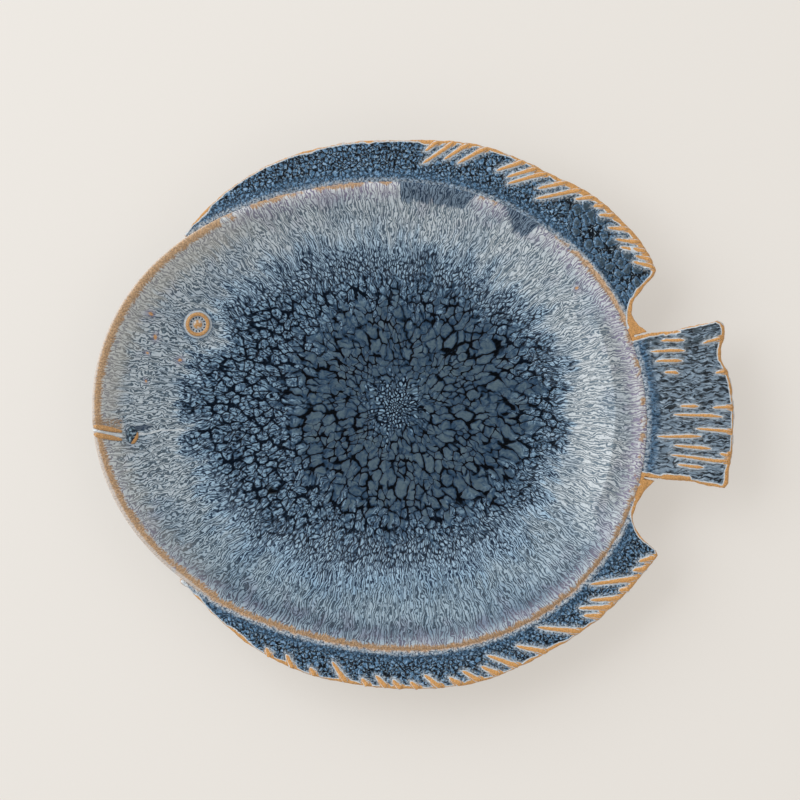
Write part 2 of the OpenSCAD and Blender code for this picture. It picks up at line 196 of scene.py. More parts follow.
class PlatterGlaze(bpy.types.PropertyGroup):
    """Colours of the clay and the glaze"""

    crack: colour_property("Crack", "Bottom of the cracks in the pooled glass", 2, 5, 10)
    slate: colour_property("Slate", "Top of a cell of pooled glass", 84, 101, 111)
    cobalt: colour_property("Cobalt", "Glass beside a crack", 22, 52, 82)
    ink: colour_property("Ink", "Cells towards the edge of the pool", 124, 153, 175)
    sky: colour_property("Sky", "Thin speckled glaze", 160, 186, 206)
    haze: colour_property("Haze", "Streaked glaze on the walls", 131, 152, 168)
    milk: colour_property("Milk", "White that gathers beside bare clay", 208, 214, 218)
    cream: colour_property("Cream", "Milky glaze inside the bare rim at the head", 194, 194, 189)
    mauve: colour_property("Mauve", "Tint of thin glaze near the rim", 122, 116, 138)
    tan: colour_property("Tan", "Clay that shows through thin glaze", 208, 156, 98)
    rim_tan: colour_property("Rim tan", "Clay that shows through along the rim", 184, 146, 104)
    fin: colour_property("Fin", "Bubbled glaze of the fins", 64, 93, 119)
    tail: colour_property("Tail", "Folded glaze of the tail", 98, 113, 127)
    clay: colour_property("Clay", "Bare clay of the foot", 186, 154, 118)


class PlatterStage(bpy.types.PropertyGroup):
    """Floor, light and camera"""

    floor: colour_property("Floor", "Colour of the floor's paper", 231, 231, 230)
    glow: colour_property("Glow", "Colour that the floor shines with by itself", 234, 226, 216)
    floor_glow: FloatProperty(
        name="Floor glow", description="Share of the floor that shines by itself", subtype="FACTOR", default=0.6, max=1
    )
    lamp_power: FloatProperty(name="Lamp", description="Power of the large soft lamp", unit="POWER", default=22)
    lamp_size: length_property("Lamp size", "Side of the large soft lamp", 1.5)
    horizon: FloatProperty(name="Room light", description="Light from the sides of the room", default=0.88)
    window: FloatProperty(name="Window", description="How much more of it comes from the upper left", default=0.2)
    zenith: FloatProperty(name="Overhead light", description="Light from behind the camera", default=0.06)
    camera_height: length_property("Camera height", "Camera over the rim of the dish", 1.249)
    lens: FloatProperty(name="Lens", description="Focal length of the camera", unit="CAMERA", default=110)


def sided(operation):
    """A Math node's operator, as Python calls it from its left and from its right side."""

    def left(field, other):
        return field.math(operation, field, other)

    def right(field, other):
        return field.math(operation, other, field)

    return left, right


class Field:
    """A node's output in arithmetic: each operator adds a Math node to its recipe."""

    __add__, __radd__ = sided("ADD")
    __sub__, __rsub__ = sided("SUBTRACT")
    __mul__, __rmul__ = sided("MULTIPLY")
    __truediv__, __rtruediv__ = sided("DIVIDE")
    __pow__ = sided("POWER")[0]
    least = sided("MINIMUM")[0]
    most = sided("MAXIMUM")[0]

    def __init__(self, recipe, socket):
        self.recipe = recipe
        self.socket = socket

    def __abs__(self):
        return self.math("ABSOLUTE", self)

    def math(self, operation, *values):
        return self.recipe.add("Math", {"operation": operation}, values)


class Recipe:
    """A node tree written as expressions, and the material that it belongs to, if it does to one."""

    def __init__(self, tree, owner=None):
        self.tree = tree
        self.owner = owner
        tree.nodes.clear()

    def node(self, kind, settings=None, sockets=(), out=0):
        """Adds a node: first its settings, then the values or links of its sockets, in order or by name."""
        node = self.tree.nodes.new(kind)
        for key, value in (settings or {}).items():
            setattr(node, key, value)
        for key, value in sockets.items() if isinstance(sockets, dict) else enumerate(sockets):
            if isinstance(value, Field):
                self.tree.links.new(value.socket, node.inputs[key])
            else:
                node.inputs[key].default_value = value
        return Field(self, node.outputs[out]) if node.outputs else node

    def add(self, kind, settings=None, sockets=(), out=0):
        """Adds a Shader Node."""
        return self.node(f"ShaderNode{kind}", settings, sockets, out)

    def shape(self, kind, sockets=(), settings=None, out=0):
        """Adds a Geometry Node."""
        return self.node(f"GeometryNode{kind}", settings, sockets, out)

    def vector(self, operation, *values, out=0):
        return self.add("VectorMath", {"operation": operation}, values, out)

    def scaled(self, vector, amount):
        return self.add("VectorMath", {"operation": "SCALE"}, {0: vector, 3: amount})

    def parts(self, vector):
        split = self.add("SeparateXYZ", sockets=[vector]).socket.node
        return [Field(self, socket) for socket in split.outputs]

    def place(self):
        """Place on the platter, in millimetres."""
        return self.scaled(self.add("TexCoord", out="Object"), 1 / MM)

    def stored(self, name):
        """A value that the mesh keeps for each point."""
        return self.add("Attribute", {"attribute_name": name}, out="Fac")

    def noise(self, place, size, detail=2, roughness=0.5, out="Fac"):
        sockets = {"Vector": place, "Scale": 1 / size, "Detail": detail, "Roughness": roughness}
        return self.add("TexNoise", {"noise_dimensions": "2D"}, sockets, out)

    def rise(self, value, low, high, start=0, end=1):
        """Smooth step from 0 at low to 1 at high, or between other values."""
        settings = {"interpolation_type": "SMOOTHSTEP"}
        return self.add("MapRange", settings, {0: value, 1: low, 2: high, 3: start, 4: end})

    def fall(self, value, low, high):
        """Smooth step from 1 at low to 0 at high."""
        return self.rise(value, low, high, 1, 0)

    def blend(self, share, low, high):
        """A value between two values."""
        return self.add("Mix", {"data_type": "FLOAT"}, {0: share, 2: low, 3: high})

    def paint(self, share, under, over):
        """One colour laid over another."""
        sockets = {0: share, 6: opaque(under), 7: opaque(over)}
        return self.add("Mix", {"data_type": "RGBA"}, sockets, out=2)

    def dye(self, share, colour, dye):
        """A colour seen through a thin coat of another."""
        settings = {"data_type": "RGBA", "blend_type": "MULTIPLY"}
        return self.add("Mix", settings, {0: share, 6: colour, 7: opaque(dye)}, out=2)

    def ramp(self, value, positions, colours):
        """Colours at positions along a value from 0 to 1."""
        made = self.add("ValToRGB", sockets=[value])
        elements = made.socket.node.color_ramp.elements
        while len(elements) < len(positions):
            elements.new(1)
        for element, position, colour in zip(elements, positions, colours):
            element.position = position
            element.color = opaque(colour)
        return made


def opaque(colour):
    return colour if isinstance(colour, Field) else (*colour[:3], 1)


def between(one, other, share):
    """A colour that lies a share of the way from one to another."""
    return one * (1 - share) + other * share


def new_finish(name):
    """The recipe of a new material."""
    material = bpy.data.materials.new(name)
    material.use_nodes = True
    return Recipe(material.node_tree, material)


def fire(recipe, colour, roughness, height, depth, gloss=0.2):
    """Joins a finish's colour, roughness and relief, whose depth is in metres, to the material."""
    bump = recipe.add("Bump", sockets={"Height": height, "Distance": depth, "Strength": 1})
    sockets = {"Base Color": colour, "Roughness": roughness, "Normal": bump, "Specular IOR Level": gloss}
    shader = recipe.add("BsdfPrincipled", sockets=sockets)
    recipe.add("OutputMaterial", sockets={"Surface": shader})
    return recipe.owner


def ripple(r, place, size, reach, detail=1):
    """Sideways push of up to the reach, from a noise of a size, in millimetres."""
    push = r.noise(place, size, detail, out="Color")
    return r.vector("MULTIPLY_ADD", push, (2 * reach, 2 * reach, 0), (-reach, -reach, 0))


def pushed(r, place, slow, fast):
    """The place in plan, pushed about as the glaze ran: slow bends and fast ripples, in millimetres."""
    push = r.vector("ADD", ripple(r, place, 14, slow), ripple(r, place, 3.6, fast))
    return r.vector("ADD", r.vector("MULTIPLY", place, (1, 1, 0)), push)


def flow(r, arm, out, power, size, at):
    """Cells that stretch along the arm from the middle, and have their size at some distance from it: a power of 1
    leaves them round, less draws them out."""
    return r.scaled(arm, out ** (power - 1) * (at ** (1 - power) / size))


def oval(r, place, middle, half):
    """Distance from the middle of an oval of the plan, as a share of its half sizes, along each axis."""
    shift = [-start / size for start, size in zip(middle, half)]
    return r.vector("MULTIPLY_ADD", place, (1 / half[0], 1 / half[1], 0), (*shift, 0))


def away_from(r, place, x, y):
    """Distance from a point of the plan, in millimetres."""
    return r.vector("DISTANCE", r.vector("MULTIPLY", place, (1, 1, 0)), (x, y, 0), out="Value")


def spot(r, place, x, y, radius):
    """Round mask with a soft edge about a point of the plan."""
    return r.fall(away_from(r, place, x, y), radius * 0.5, radius * 1.5)


def pebbles(r, place, corner, size=1):
    """Cells with rounded corners: the distance to the nearest crack, in cells, and a number of each cell's own."""
    sockets = {"Vector": place, "Scale": 1 / size}
    crack, cell = (
        r.add("TexVoronoi", {"feature": feature, "voronoi_dimensions": "2D"}, sockets)
        for feature in ("DISTANCE_TO_EDGE", "F1")
    )
    away, tint = (Field(r, cell.socket.node.outputs[key]) for key in ("Distance", "Color"))
    return crack - corner * (away - 0.42).most(0), r.parts(tint)[0]


def curls(r, place, size, count):
    """Thin dark lines that follow the level lines of a slow noise."""
    level = r.noise(place, size, 1) * count
    return r.rise(level.math("PINGPONG", level, 1), 0, 0.8)


def streaks(r, arm, count, waver):
    """Thin dark lines that run out from the middle, a whole number of them round it, pushed aside by a waver."""
    along, across, _ = r.parts(arm)
    phase = across.math("ARCTAN2", across, along) * (count / math.pi) + waver
    return r.rise(phase.math("PINGPONG", phase, 1), 0, 0.8)


def from_drain(r, place):
    """The arm from the place that the glass drained to, and its length."""
    arm = r.vector("SUBTRACT", place, (*DRAIN, 0))
    return arm, r.vector("LENGTH", arm, out="Value") + 0.5


def reactive_glaze(name, look):
    """Glaze that ran down the walls in streaks and crawled into cells in the well."""
    r = new_finish(name)
    place = r.place()
    x, y, _ = r.parts(place)
    inset, upper = r.stored("inset"), r.stored("upper")
    lip, bare, band, white, cream, smudge, over, _ = (r.stored(key) for key in RIM_KEYS)

    # Where the pooled glass ends, as a share of its half length and half width
    pool = oval(r, place, POOL_MIDDLE, POOL_HALF)
    pool_x, _, _ = r.parts(pool)
    reach = r.vector("LENGTH", pool, out="Value")
    sideways = (pool_x / (reach + 0.001)) ** 2

    # Strands run out from the place that the glass drained to, in fine hairs, locks and tufts
    ran = pushed(r, place, 2.5, 1.05)
    arm, out = from_drain(r, ran)
    strand, strand_out = from_drain(r, pushed(r, place, 2.25, 0.425))
    strands = flow(r, strand, strand_out, 0.17, 1, 112)
    hair = r.noise(strands, 0.55, 2, 0.65)
    lock = r.noise(strands, 2.4, 1)
    tuft = r.noise(strands, 7.5, 1)
    grit = r.noise(place, 0.9, 2)
    waver = (r.noise(strands, 1.8, 1) - 0.5) * 2.4 + (r.noise(ran, 4, 2) - 0.5) * (2 + r.fall(x, -105, -70))
    forked = r.rise(out + (tuft - 0.5) * 40, 62, 76)
    lines = r.blend(forked, streaks(r, strand, 260, waver), streaks(r, strand, 520, waver * 2))
    comb = r.rise(lines * 0.75 + hair * 0.8 + grit * 0.7 - 0.72, 0.06, 0.86)

    # The pool's ragged edge, and how far from its core to the pale walls a place is
    ragged = reach + (r.noise(place, 16, 2) - 0.5) * 0.22 + (tuft - 0.5) * 0.2 + (lock - 0.5) * 0.16
    ragged = ragged - 0.07 * r.fall(y, -70, -20) + 0.16 * spot(r, ran, EYE_MIDDLE.x + 9, EYE_MIDDLE.y - 7, 9)
    off_core = r.vector("LENGTH", oval(r, place, CORE_MIDDLE, CORE_HALF), out="Value")
    edge_cells = r.rise(off_core + (tuft - 0.5) * 0.6, 0.76, 1.02)
    thin = r.rise(ragged, 0.64 + 0.29 * sideways, 1.28 - 0.18 * sideways)
    pale = r.rise(thin, 0.5, 0.9)
    middle = r.fall(out + (tuft - 0.5) * 34 + (r.noise(ran, 4, 1) - 0.5) * 12, 5, 19)

    # Large cells in the core, small domes towards the pool's edge, then fine speckle that draws out into strands
    def cells(power, size, at, corner):
        return pebbles(r, flow(r, arm, out, power, size, at), corner)

    vary = r.rise(r.noise(place, 9, 2), 0.36, 0.64)
    mottle = r.noise(ran, 1.5, 3, 0.62)
    mixed = r.rise(r.noise(r.vector("ADD", place, (71, 33, 0)), 13, 1), 0.44, 0.56)
    big, own = cells(0.62, 4.9, 42, 0.42)
    small, _ = cells(0.62, 3, 42, 0.42)
    bead, tint = cells(0.55, 2.5, 75, 0.45)
    fine, grain = cells(0.4, 1.45, 85, 0.4)
    star, star_grain = cells(0.7, 1.7, 12, 0.5)
    crumb, _ = cells(0.5, 1.6, 75, 0.45)
    rings = curls(r, flow(r, arm, out, 0.5, 1, 75), 2.6, 11)
    body = 0.5 + 0.2 * r.rise(big, 0.04, 0.3) + 0.2 * own + (mottle - 0.5) * 0.75
    big_cell = r.rise(big, -0.03, 0.03 + 0.15 * vary)
    core = r.blend(mixed, big_cell, r.rise(small, -0.03, 0.04 + 0.2 * vary)) * body
    domes = r.rise(r.blend(vary, bead, crumb), -0.05, 0.28 + 0.14 * mixed) * (0.62 + 0.42 * tint)
    domes = domes * 0.6 + 0.32 + (mottle - 0.5) * 0.9 + (rings - 0.6) * 0.5
    domes = domes * (0.2 + 0.8 * r.rise(small, -0.02, 0.14)) * 1.3 - 0.16
    speck = r.rise(fine, -0.03, 0.3) * (0.6 + 0.5 * grain) * 0.9 + comb * 0.55 + (mottle - 0.5) * 0.6 - 0.32
    cell = r.blend(r.rise(thin, 0.02, 0.24), r.blend(edge_cells, core, domes), speck)
    cell = r.blend(middle, cell, r.rise(star, 0.08, 0.32) * (0.55 + 0.7 * star_grain))
    height = r.blend(r.rise(thin, 0.35, 0.75), cell, comb)

    # From the slate cells of the core to the blue ones at its edge, the speckle beyond and the pale walls
    zone = r.blend(thin, 0.3 * edge_cells, 1)
    zone = r.blend(middle, zone, 0.36) + (r.noise(ran, 6, 3, 0.6) - 0.5) * 0.16
    zones = (0, 0.3, 0.55, 0.8, 1)
    tops = look.slate, look.ink, look.sky * 0.98, look.sky * 1.05, between(look.haze, look.milk, 0.6)
    lights = (look.slate, 0.18), (look.ink, 0.2), (look.sky, 0.2), (look.sky, 0.36)
    sides = *(between(look.cobalt, light, share) for light, share in lights), look.haze * 0.86
    gaps = look.crack, look.cobalt * 0.12, look.cobalt * 0.24, look.cobalt * 0.7, look.haze * 0.3
    gaps, sides, tops = (r.ramp(zone, zones, colours) for colours in (gaps, sides, tops))
    colour = r.paint(r.rise(height, 0, 0.5), gaps, sides)
    colour = r.paint(r.rise(height, 0.4, 1), colour, tops)

    # White drifts on the walls, whiter on the right wall partly as painted light where that wall faces the lamp, the
    # line that the glaze was poured to, and the bluer belly side
    right = r.rise(x + (lock - 0.5) * 18, 70, 92) * r.fall(abs(y - 4), 48, 90)
    drift = r.rise(r.noise(place, 24, 2), 0.42, 0.66)
    upper_right = r.rise(x + y, 60, 120)
    # Painted light: the right wall's white is partly a painted lit side, on top of the glaze's own white drifts
    white_drift_and_lit_wall = (right * 0.95).most(drift * 0.2).most(upper_right * 0.55).most(r.rise(y, 40, 90) * 0.4) * pale
    colour = r.paint(white_drift_and_lit_wall, colour, r.paint(comb, look.haze * 0.6, look.milk))
    poured = r.rise(x + y * y * 0.0042, 103, 104.5) * r.fall(abs(y), 40, 60)
    colour = r.paint(poured * 0.9, colour, r.paint(comb, look.haze * 0.32, look.milk * 0.64))
    colour = r.dye(r.fall(y, -90, -25) * pale, colour, (0.67, 0.77, 0.84))
    heavy = r.rise(r.noise(r.vector("ADD", place, (31, 7, 0)), 26, 3, 0.6), 0.48, 0.68)
    colour = r.dye(heavy * pale * 0.6, colour, (0.66, 0.74, 0.82))

    # Thin glaze near the rim: mauve stains, cream at the head, white strands, then bare clay behind a pale lip
    stain = r.rise(r.noise(r.vector("ADD", place, (9, 55, 0)), 10, 3), 0.5, 0.66)
    near = r.fall(inset, 4, 26)
    colour = r.paint(stain * near * 0.35, colour, r.paint(comb, look.mauve * 0.5, look.mauve * 1.5))
    broken = (r.noise(place, 7, 3, 0.6) - 0.5) * 5 + (lock - 0.5) * 2
    wavy = inset + broken * (0.8 - 0.5 * cream)
    moat = r.rise(inset, 3, 8) * r.fall(inset, 9, 17) * r.fall(y, -90, -40)
    colour = r.dye(moat, colour, (0.66, 0.68, 0.72))
    milky = cream * r.fall(inset + broken + (lock - 0.5) * 10, 9, 19)
    colour = r.paint(milky * 0.8, colour, r.paint(comb, look.cream * 0.6, look.cream))
    fuzz = r.fall(wavy + (comb - 0.5) * 4, 3, 10) * white
    colour = r.paint(fuzz, colour, r.paint(comb, look.mauve * 1.1, between(look.milk, look.rim_tan, 0.1)))
    blue = r.rise(smudge - 0.045 * inset + (hair - 0.5) * 0.3, 0.42, 0.56)
    blue = blue * r.fall(wavy + (lock - 0.5) * 5, 9, 11)
    colour = r.paint(blue * 0.9, colour, r.paint(comb, look.cobalt * 0.6, between(look.cobalt, look.sky, 0.34)))
    shown = r.rise(bare + r.noise(place, 6, 2) - 0.5, 0.4, 0.54)
    clay = r.paint(r.rise(grit, 0.36, 0.64), look.rim_tan * 0.66, look.rim_tan * 1.05)
    # Painted light: the rim's outer flank is painted a lighter tan, partly thinner glaze over the clay and partly to
    # offset the shade that falls on the flank
    clay = r.paint(r.fall(inset, 0.3, 1.5), clay, look.rim_tan * 1.4)
    colour = r.paint(shown * r.fall(wavy - band + (comb - 0.5) * 0.9, -0.8, 0.9) * 0.88, colour, clay)
    pale_lip = r.fall(inset + (grit - 0.5) * 1.6 - lip, -0.4, 0.5) * r.rise(lip, 0, 0.4)
    colour = r.paint(pale_lip * 0.7, colour, between(look.milk, look.rim_tan, 0.3))
    ran_over = over * r.fall(wavy + (grit - 0.5) * 2, 0, 1)
    speckled = r.paint(r.rise(grit, 0.35, 0.65), look.fin, look.fin * 3)
    colour = r.paint(ran_over, colour, speckled)

    # Glaze gathered round the eye, between the lips and behind the pellet
    eye = away_from(r, place, EYE_MIDDLE.x, EYE_MIDDLE.y)
    colour = r.paint(r.fall(eye, 7.6, 9) * r.rise(eye, 6.9, 7.5) * 0.6, colour, between(look.cobalt, look.sky, 0.2))
    colour = r.paint(r.fall(eye, 6.8, 7.4), colour, look.milk)
    behind = x - PELLET_MIDDLE.x
    wake = y - (PELLET_MIDDLE.y + 3.5) - 0.12 * behind
    shade = r.fall(abs(wake), 0.4, 2) * r.rise(behind, -3, 0) * r.fall(behind, 5, 14)
    colour = r.paint(shade * 0.85, colour, look.cobalt * 0.7)
    trail = y - (PELLET_MIDDLE.y + 0.4) - 0.1 * behind + (r.noise(place, 7, 1) - 0.5) * 4
    thread = r.fall(abs(trail), 0.15, 0.75) * r.rise(behind, 2, 4) * r.fall(behind, 22, 32)
    colour = r.paint(thread * 0.9, colour, look.milk)
    lip_end = r.fall(x, LIP_HIGH.x / MM - 1, LIP_HIGH.x / MM + 1)
    worn = r.rise(y, LIP_LOW.y / MM, LIP_LOW.y / MM + 1) * r.fall(y + (grit - 0.5) * 3, -3.2, -0.8) * lip_end
    colour = r.paint(worn * r.rise(grit, 0.3, 0.6) * 0.75, colour, look.rim_tan * 0.62)
    # The milky line between them falls away towards the tail
    groove = y + 0.21 * (x + 150) + 10.7
    between_lips = r.fall(abs(groove), 0.35, 0.9) * lip_end
    colour = r.paint(between_lips, colour, look.milk)

    # Pinholes where the clay spat through, and a blister
    for hole_x, hole_y, size in PINHOLES:
        colour = r.paint(spot(r, ran, hole_x, hole_y, size * 1.7) * 0.5, colour, look.mauve)
        colour = r.paint(spot(r, ran, hole_x, hole_y, size * 0.7) * 0.9, colour, look.tan * 0.9)
    colour = r.paint(spot(r, ran, *BLISTER), colour, look.crack)

    # The underside has one even coat
    coat = r.paint(r.rise(r.noise(place, 4, 3), 0.35, 0.65), look.haze * 0.55, look.haze * 0.85)
    colour = r.paint(upper, coat, colour)

    rough = r.blend(pale, 0.2, 0.32) + 0.12 * (1 - comb)
    return fire(r, colour, rough, height, 0.0002)


def fin_glaze(name, look, stretch, folds, contrast, tone):
    """Bubbled glaze that broke away from the edge and the rays of a fin."""
    r = new_finish(name)
    place = r.place()
    x, y, _ = r.parts(place)
    ran = r.vector("MULTIPLY", pushed(r, place, 1.25, 0.75), (stretch, 1, 0))
    ran = r.vector("ADD", ran, ripple(r, ran, 1.3, 0.8, 2))
    edge, ray, root, shown, over, spill = (r.stored(key) for key in ("edge", "ray", "root", "bare", "over", "spill"))

    # Small domes that run together, with heaps of large ones at the rear of the back fin, with a painted highlight
    # round each heap and painted shade in the gaps between them
    coarse, boulder = r.stored("coarse"), r.stored("boulder")
    small, tint = pebbles(r, ran, 0.5, 1.9)
    large, _ = pebbles(r, ran, 0.5, 2.9)
    bubble = r.noise(ran, 1, 3, 0.62)
    swell = r.noise(ran, 2.4, 2)
    pebble = r.blend(r.rise(r.noise(place, 6, 1), 0.42, 0.58), r.rise(small, -0.04, 0.34), r.rise(large, -0.04, 0.3))
    dome = r.blend(coarse, pebble, r.rise(boulder, 0, 0.3))
    level = 0.52 * dome + 0.12 * tint + (bubble - 0.5) * 1.15 + (swell - 0.5) * 0.5 - 0.01
    # Heaps: dark gaps are painted shade, the light ring round each heap is a painted highlight, and their tops are
    # dark slate glaze
    heap_highlight_and_gap_shade = 0.02 + 0.5 * r.rise(boulder, 0, 0.14) - 0.2 * r.rise(boulder, 0.12, 0.4) + (bubble - 0.5) * 0.8
    level = r.blend(coarse, level, heap_highlight_and_gap_shade)
    drawn = r.vector("MULTIPLY", ran, (0.5, 1, 0))
    folded = 0.36 + 0.5 * (curls(r, drawn, 3.2, 9) - 0.5) + (r.noise(drawn, 0.9, 3, 0.6) - 0.5) * 1.1
    level = r.blend(folds, level, folded)
    dark = between(look.crack, look.cobalt, 0.4)
    shades = [tone * amount**contrast for amount in (0.05, 0.34, 1, 1.9)]
    # The lightest shade is mixed with milk: partly the glaze's pale mottle, partly painted highlight on the dome tops
    shades.append(between(tone * 3**contrast, look.milk, 0.3))
    body = r.ramp(level, (0.16, 0.28, 0.42, 0.58, 0.82), shades)
    # Painted highlights: small pale flecks that stand for glints on the glaze's bubbles
    body = r.paint(r.rise(r.noise(ran, 0.9, 1), 0.62, 0.72) * 0.6 * (1 - folds), body, look.sky)
    body = r.paint(coarse * r.rise(boulder, 0.16, 0.4) * 0.7, body, look.slate * 0.5)
    wobble = (r.noise(place, 2.6, 2) - 0.5) * 1.3
    # Near the root the body takes a darker speckle: partly glaze pooled against the dish, partly painted shade where
    # the fin meets it
    speckled = r.paint(r.rise(bubble, 0.3, 0.75), dark, look.fin * 2.4)
    body = r.paint(r.fall(root + wobble * 2, 3, 8) * (0.4 + 0.4 * folds), body, speckled)
    seam = r.fall(root + wobble * 1.5 - spill, 0.2, 2)
    colour = r.paint(seam * (0.75 - 0.6 * over), body, r.paint(r.rise(bubble, 0.35, 0.6), look.fin, look.milk))
    ran_off = r.rise(shown + r.noise(place, 6, 2) - 0.5, 0.4, 0.54)
    ran_off = ran_off * r.fall(root + wobble - spill, -0.5, 0.4)
    colour = r.paint(ran_off * 0.8, colour, r.paint(r.rise(bubble, 0.4, 0.6), look.rim_tan * 0.9, look.rim_tan * 1.4))

    # A white line stands beside each ray and inside the bare edge
    bloom = r.fall(ray + wobble, 0.5, 2.8)
    colour = r.paint(bloom * (0.55 - 0.3 * folds), colour, r.paint(r.rise(bubble, 0.4, 0.6), tone * 0.8, look.milk))
    colour = r.paint(r.fall(ray + wobble * 0.4, 0.15, 0.6) * 0.8, colour, look.milk)
    grit = r.noise(place, 0.8, 2)
    clay = r.paint(r.rise(grit, 0.36, 0.62), look.tan * 0.7, look.tan)
    bare = 0.15 + (1.3 - 0.7 * folds) * r.rise(r.noise(place, 19, 2), 0.46, 0.68)
    bare = bare + (1.1 - 1.1 * folds) * r.rise(x, 50, 100) * r.rise(y, -40, 0) + 1.2 * folds * r.fall(y, -30, -22)
    upper, lower = (spot(r, place, *corner) for corner in BARE_CORNERS)
    bare = bare + 1.5 * upper + 1.2 * lower
    upper, lower = (spot(r, place, *tip) for tip in BARE_TIPS)
    bare = bare + (upper + lower) * (1.8 - 1.6 * folds)
    bare = bare.most(3 * r.fall(ray, 0.1, 0.7))
    rim = edge + wobble * 0.6 - bare
    colour = r.paint(r.fall(rim, 0.5, 1) * 0.85, colour, look.milk)
    thin = r.fall(rim, 0, 0.35).most(r.stored("side") * 0.8)
    colour = r.paint(thin, colour, clay)
    return fire(r, colour, 0.24 + 0.2 * thin, (dome * 0.6 + bubble * 0.5).least(1 - 0.5 * thin), 0.00035)


def ridge_glaze(name, look, tan):
    """Glaze worn thin to tan clay over a crest, white on its flanks."""
    r = new_finish(name)
    place = r.place()
    crest = r.stored("crest") + (r.noise(place, 1.8, 2) - 0.5) * 0.5
    grit = r.noise(place, 0.7, 2)
    clay = r.paint(r.rise(grit, 0.38, 0.62), tan * 0.72, tan * 1.05)
    flank = r.ramp(r.rise(crest, 0, 0.5), (0, 0.6), (between(look.cobalt, look.sky, 0.6), look.milk))
    colour = r.paint(r.rise(crest, 0.42, 0.6), flank, clay)
    return fire(r, colour, 0.34 - 0.08 * r.rise(crest, 0.3, 0.6), grit, 0.00012)


def pellet_glaze(name, look):
    """Dark glaze on the pellet, with clay at its tail side."""
    r = new_finish(name)
    place = r.place()
    x, y, _ = r.parts(place)
    tail_side = (x - PELLET_MIDDLE.x) * 0.9 - (y - PELLET_MIDDLE.y) * 0.5
    mottle = r.noise(place, 1.3, 3)
    tones = look.cobalt * 0.35, look.slate * 0.7, look.slate, look.sky * 0.8
    dark = r.ramp(r.rise(mottle, 0.32, 0.7), (0, 0.4, 0.75, 1), tones)
    bare = r.rise(tail_side + (mottle - 0.5) * 1.6, 1.3, 1.8) * r.fall(tail_side, 2.9, 3.5)
    return fire(r, r.paint(bare, dark, look.tan), 0.25 + 0.2 * bare, mottle, 0.0002)


def dot_glaze(name, look):
    """Beads of blue glass round the pupil."""
    r = new_finish(name)
    mottle = r.noise(r.place(), 0.5, 2)
    return fire(r, r.paint(mottle, look.cobalt * 0.6, look.cobalt), 0.2 + 0.1 * mottle, mottle, 0.00003)


def bare_clay(name, look):
    """Unglazed foot, with specks of iron and rubbed patches."""
    r = new_finish(name)
    place = r.place()
    grain = r.noise(place, 0.6, 3, 0.6)
    worn = r.rise(r.noise(place, 14, 2), 0.4, 0.65)
    iron = r.rise(r.noise(place, 1.4, 1), 0.66, 0.72)
    colour = r.paint(worn, look.clay * 0.8, look.clay)
    colour = r.paint(r.rise(grain, 0.35, 0.65) * 0.4, colour, look.clay * 0.6)
    colour = r.paint(iron * 0.7, colour, look.clay * 0.2)
    return fire(r, colour, 0.72 + 0.2 * grain, grain, 0.00015)


def merged(node):
    """A CAD node's solid as joined faces, most of them four-sided."""
    shape = bmesh.new()
    shape.from_mesh(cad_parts[node].data)
    bmesh.ops.remove_doubles(shape, verts=shape.verts, dist=2e-6)
    bmesh.ops.join_triangles(shape, faces=shape.faces, angle_face_threshold=math.pi, angle_shape_threshold=2.4)
    return shape


def new_object(name, data):
    made = bpy.data.objects.new(name, data)
    bpy.context.scene.collection.objects.link(made)
    return made


def applied(piece, **modifiers):
    """The piece with its modifiers, and those given here with their settings, made part of its mesh."""
    for kind, settings in modifiers.items():
        made = piece.modifiers.new(kind.title(), kind)
        for key, value in settings.items():
            setattr(made, key, value)
    bpy.context.view_layer.update()
    graph = bpy.context.evaluated_depsgraph_get()
    mesh = bpy.data.meshes.new_from_object(piece.evaluated_get(graph))
    piece.modifiers.clear()
    rough, piece.data = piece.data, mesh
    bpy.data.meshes.remove(rough)
    mesh.name = piece.name
    mesh.shade_smooth()
    return piece


def from_solid(name, node, crease=None):
    """A CAD node's solid as a piece, whose edges that turn by more than the crease stay sharp."""
    shape = merged(node)
    if crease is not None:
        shape.normal_update()
        layer = shape.edges.layers.float.new("crease_edge")
        for edge in shape.edges:
            edge[layer] = float(edge.calc_face_angle(0) > crease)
    mesh = bpy.data.meshes.new(name)
    shape.to_mesh(mesh)
    shape.free()
    return new_object(name, mesh)


def turned_piece(name, node, levels, crease=None):
    """A smooth piece on a solid that was built up in rings."""
    return applied(from_solid(name, node, crease), SUBSURF={"levels": levels, "render_levels": levels})


def moulded_piece(name, node, grain, rounds):
    """A piece with softened edges on a solid of any shape."""
    remake, soften = {"mode": "VOXEL", "voxel_size": grain}, {"factor": 0.5, "iterations": rounds}
    return applied(from_solid(name, node), REMESH=remake, SMOOTH=soften)


def points_of(mesh):
    points = np.empty(len(mesh.vertices) * 3)
    mesh.vertices.foreach_get("co", points)
    return points.reshape(-1, 3)


def normals_of(mesh):
    normals = np.empty(len(mesh.vertices) * 3, np.float32)
    mesh.vertex_normals.foreach_get("vector", normals)
    return normals.reshape(-1, 3)


def store(mesh, name, values):
    """Keeps a value for each point of the mesh."""
    layer = mesh.attributes.new(name, "FLOAT", "POINT")
    layer.data.foreach_set("value", np.asarray(values, np.float32))


def smooth_step(values, low, high):
    share = np.clip((values - low) / (high - low), 0, 1)
    return share * share * (3 - 2 * share)


def plan_tree(points):
    """Points in plan, to find the nearest of."""
    tree = KDTree(len(points))
    for i, point in enumerate(points):
        tree.insert((point[0], point[1], 0), i)
    tree.balance()
    return tree


